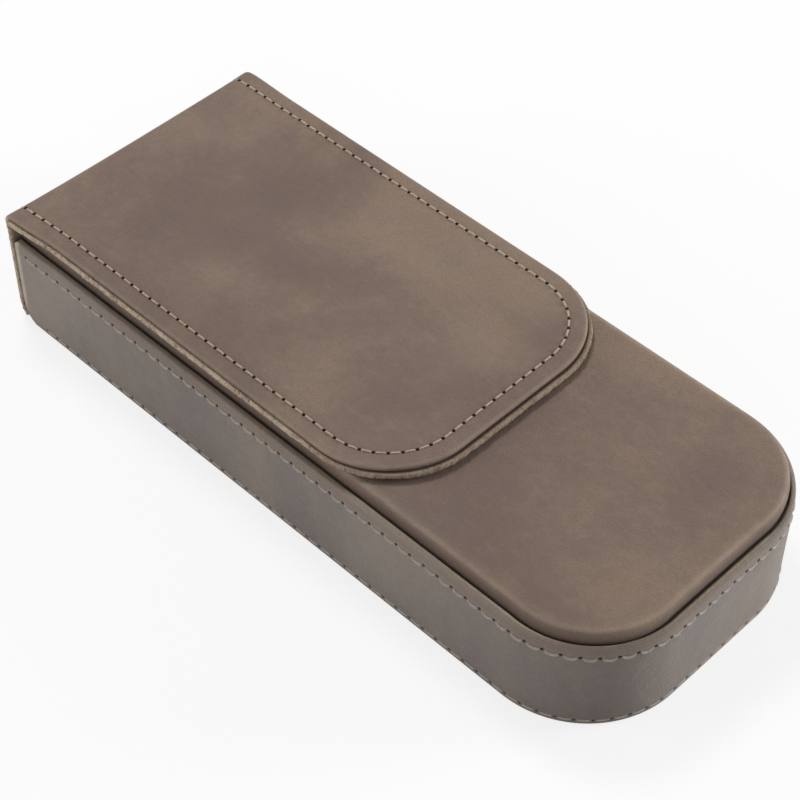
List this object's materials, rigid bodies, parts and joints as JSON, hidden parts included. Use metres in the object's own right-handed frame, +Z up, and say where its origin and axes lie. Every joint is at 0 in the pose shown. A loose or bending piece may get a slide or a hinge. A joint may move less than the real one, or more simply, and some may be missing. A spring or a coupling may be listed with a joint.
{
  "type": "pen case",
  "caption": "Slim hard leather pen case: a stitched sleeve with a rounded end, a pull-out tray with pen slots, and a long two-ply flap that folds over its front.",
  "frame": {"origin": "centre of the base, on the surface that the case lies on", "axes": "+X along the case from the square end to the round end, +Z up out of the flap"},
  "size_m": [0.19, 0.08, 0.0334],
  "materials": {
    "taupe_leather": "mottled matt taupe leather with burnished edges",
    "lining_leather": "paler split leather, its cut edges raw",
    "tray_leather": "smooth dark taupe leather",
    "lining": "soft brushed suede cloth",
    "board": "grey pressed board",
    "thread": "waxed beige thread",
    "magnet": "plated disc magnet"
  },
  "bodies": {
    "sleeve": {"side_band": "taupe_leather", "side_stiffener": "board", "side_lining": "lining", "front_panel_leather": "taupe_leather", "front_panel_board": "board", "front_panel_lining": "lining", "back_panel_leather": "taupe_leather", "back_panel_board": "board", "back_panel_lining": "lining", "rim_thread": "thread", "base_thread": "thread", "panel_magnets": "magnet"},
    "drawer": {"tray_bottom_leather": "taupe_leather", "tray_floor_board": "board", "tray_wall_board": "board", "tray_wall_leather": "tray_leather", "tray_front_board": "board", "tray_front_lining": "tray_leather", "end_outer_leather": "taupe_leather", "end_lining_leather": "lining_leather", "end_thread": "thread", "fold_outer_leather": "taupe_leather", "fold_lining_leather": "lining_leather", "slot_divider_1": "tray_leather", "slot_divider_2": "tray_leather", "pen_cradle_1": "lining", "pen_cradle_2": "lining", "pen_cradle_3": "lining"},
    "flap": {"flap_outer_leather": "taupe_leather", "flap_lining_leather": "lining_leather", "flap_magnets": "magnet", "flap_thread": "thread"}
  },
  "joints": [
    {"name": "drawer_slide", "type": "slide", "parent": "sleeve", "child": "drawer", "axis": [-1, 0, 0], "range_m": [0, 0.175]},
    {"name": "flap_hinge", "type": "hinge", "parent": "drawer", "child": "flap", "pos_m": [-0.0936, 0, 0.032], "axis": [0, -1, 0], "range_deg": [0, 170], "deforming": ["fold_outer_leather", "fold_lining_leather"]}
  ]
}
